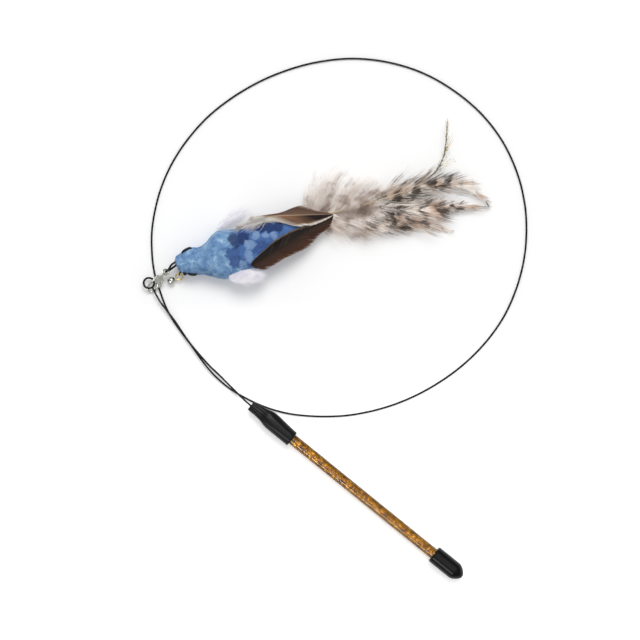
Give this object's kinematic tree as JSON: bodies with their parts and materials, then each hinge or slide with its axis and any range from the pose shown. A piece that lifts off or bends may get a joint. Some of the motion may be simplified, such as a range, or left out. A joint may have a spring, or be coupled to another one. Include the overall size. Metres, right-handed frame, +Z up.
{
  "type": "cat teaser wand",
  "caption": "Cat teaser wand: gold foil tube handle with black cap and sleeve, springy black wire in one loop, clasp, bell and a blue fabric lure with feathers.",
  "frame": {"origin": "on the table, at the middle of the wand and its lure without the free wire", "axes": "+Z up from the table, +Y away from the handle's butt towards the lure, +X right; the handle points from lower right to upper left"},
  "size_m": [0.2498, 0.3384, 0.017],
  "materials": {
    "black_vinyl": "satin",
    "clear_plastic": "clear, glossy",
    "gold_foil": "crinkled metallised film",
    "pale_plug": "matte",
    "black_coated_wire": "satin black coating on steel",
    "silver_metal": "bright plating",
    "spring_steel": "plain",
    "black_cord": "braided",
    "white_filling": "loose fibre",
    "blue_fabric": "blotched print",
    "white_fur": "long soft fibres",
    "brown_feather": "feather",
    "dark_feather": "feather",
    "barred_feather": "feather with dark bars",
    "grey_down": "downy feather",
    "gold_metal": "bright plating"
  },
  "bodies": {
    "wand": {"end_cap": "black_vinyl", "handle_tube": "clear_plastic", "foil_liner": "gold_foil", "wire_plug": "pale_plug", "ferrule_sleeve": "black_vinyl", "spring_wire": "black_coated_wire", "wire_eye": "black_coated_wire"},
    "clasp": {"clasp_body": "silver_metal", "lever_pin": "silver_metal", "lever_spring": "spring_steel"},
    "lever": {"clasp_lever": "silver_metal"},
    "toy": {"cord_loop": "black_cord", "cord_knot": "black_cord", "head_filling": "white_filling", "head_cover": "blue_fabric", "nose_stitches": "black_cord", "back_tuft": "white_fur", "belly_tuft": "white_fur", "upper_wing": "brown_feather", "lower_wing": "dark_feather", "tail_binding": "black_cord", "long_tail": "barred_feather", "short_tail": "barred_feather", "fork_tail": "barred_feather", "upright_feather": "barred_feather", "down_plume": "grey_down", "ring_thread": "black_cord"},
    "ring": {"jump_ring": "gold_metal"},
    "bell": {"bell_top": "silver_metal", "bell_bottom": "silver_metal", "bell_loop": "silver_metal"},
    "pellet": {"bell_pellet": "spring_steel"}
  },
  "joints": [
    {"name": "clasp_swing", "type": "hinge", "parent": "wand", "child": "clasp", "pos_m": [-0.1094, 0.0425, 0.0037], "axis": [0, 0, 1], "range_deg": [-12, 12]},
    {"name": "lever_press", "type": "hinge", "parent": "clasp", "child": "lever", "pos_m": [-0.10184, 0.04359, 0.00436], "axis": [-0.033, 0.4252, -0.9045], "range_deg": [0, 12], "stiffness_Nm_per_rad": 0.002},
    {"name": "toy_swing", "type": "hinge", "parent": "clasp", "child": "toy", "pos_m": [-0.0983, 0.0497, 0.0071], "axis": [0, 0, 1], "range_deg": [-15, 25]},
    {"name": "ring_swing", "type": "hinge", "parent": "toy", "child": "ring", "pos_m": [-0.08975, 0.04794, 0.0027], "axis": [0, 0, 1], "range_deg": [-20, 20]},
    {"name": "bell_swing", "type": "hinge", "parent": "ring", "child": "bell", "pos_m": [-0.09178, 0.04564, 0.0027], "axis": [0, 0, 1], "range_deg": [-20, 20]},
    {"name": "pellet_roll", "type": "slide", "parent": "bell", "child": "pellet", "axis": [-0.8988, -0.4384, 0], "range_m": [-0.0008, 0.0008]}
  ]
}
